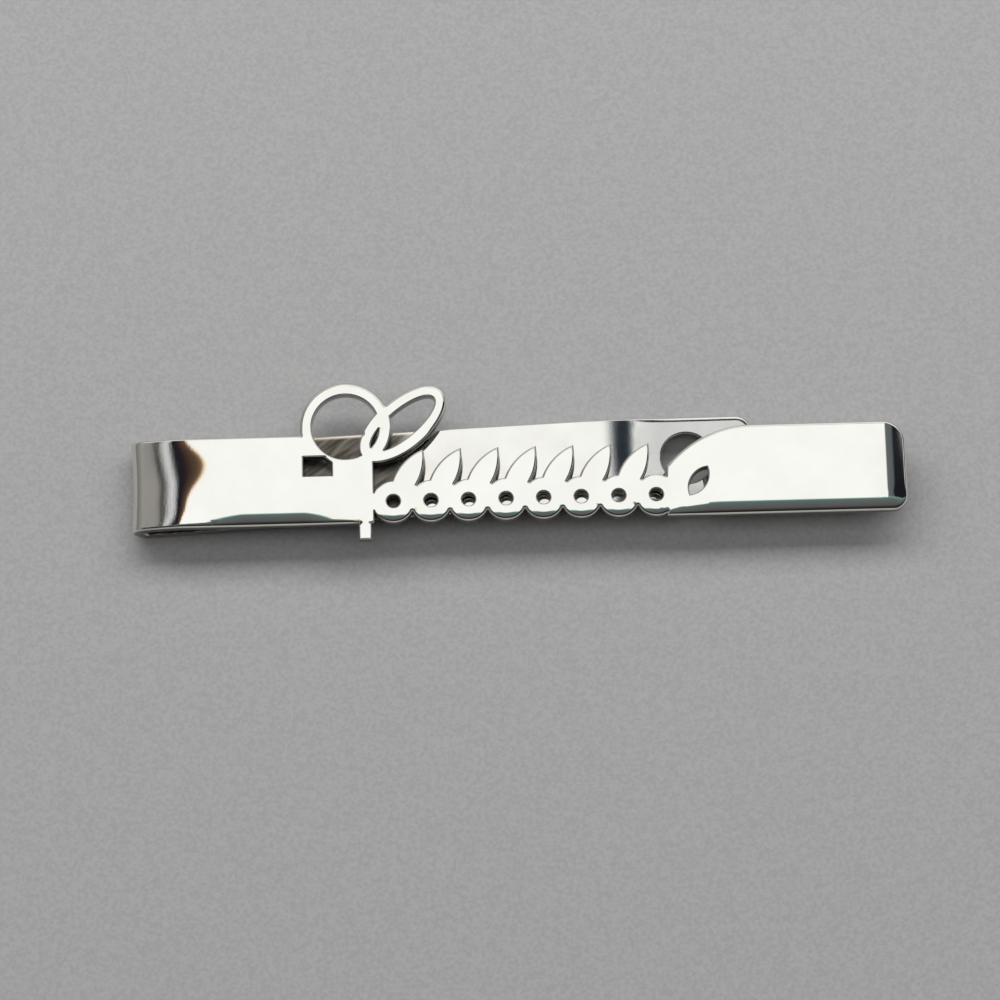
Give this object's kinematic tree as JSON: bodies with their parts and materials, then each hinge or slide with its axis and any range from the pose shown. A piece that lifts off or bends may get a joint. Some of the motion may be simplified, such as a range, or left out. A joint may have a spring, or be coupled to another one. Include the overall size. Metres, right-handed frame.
{
  "type": "tie clip",
  "caption": "Slide-on tie clip: a polished steel strip folded into a hairpin, with a pierced leaf and loop ornament in its face and a springy back tongue with a ridge and a flared tip",
  "frame": {"origin": "In the tie slot, at mid-length of the clip, on the strip's centre line and on the back of the face plate", "axes": "+X along the strip from the fold to the open end, +Y across it towards the loops, +Z out of the front face"},
  "size_m": [0.06, 0.0126, 0.0031],
  "materials": {
    "polished_steel": "mirror-polished stainless steel"
  },
  "bodies": {
    "face": {"face_plate": "polished_steel", "hairpin_fold": "polished_steel"},
    "tongue": {"spring_tongue": "polished_steel"}
  },
  "joints": [
    {"name": "tongue_flex", "type": "hinge", "parent": "face", "child": "tongue", "pos_m": [-0.0287, 0, -0.00084], "axis": [0, 1, 0], "range_deg": [0, 6], "stiffness_Nm_per_rad": 3, "springref_deg": -1.15, "deforming": ["hairpin_fold"]}
  ]
}
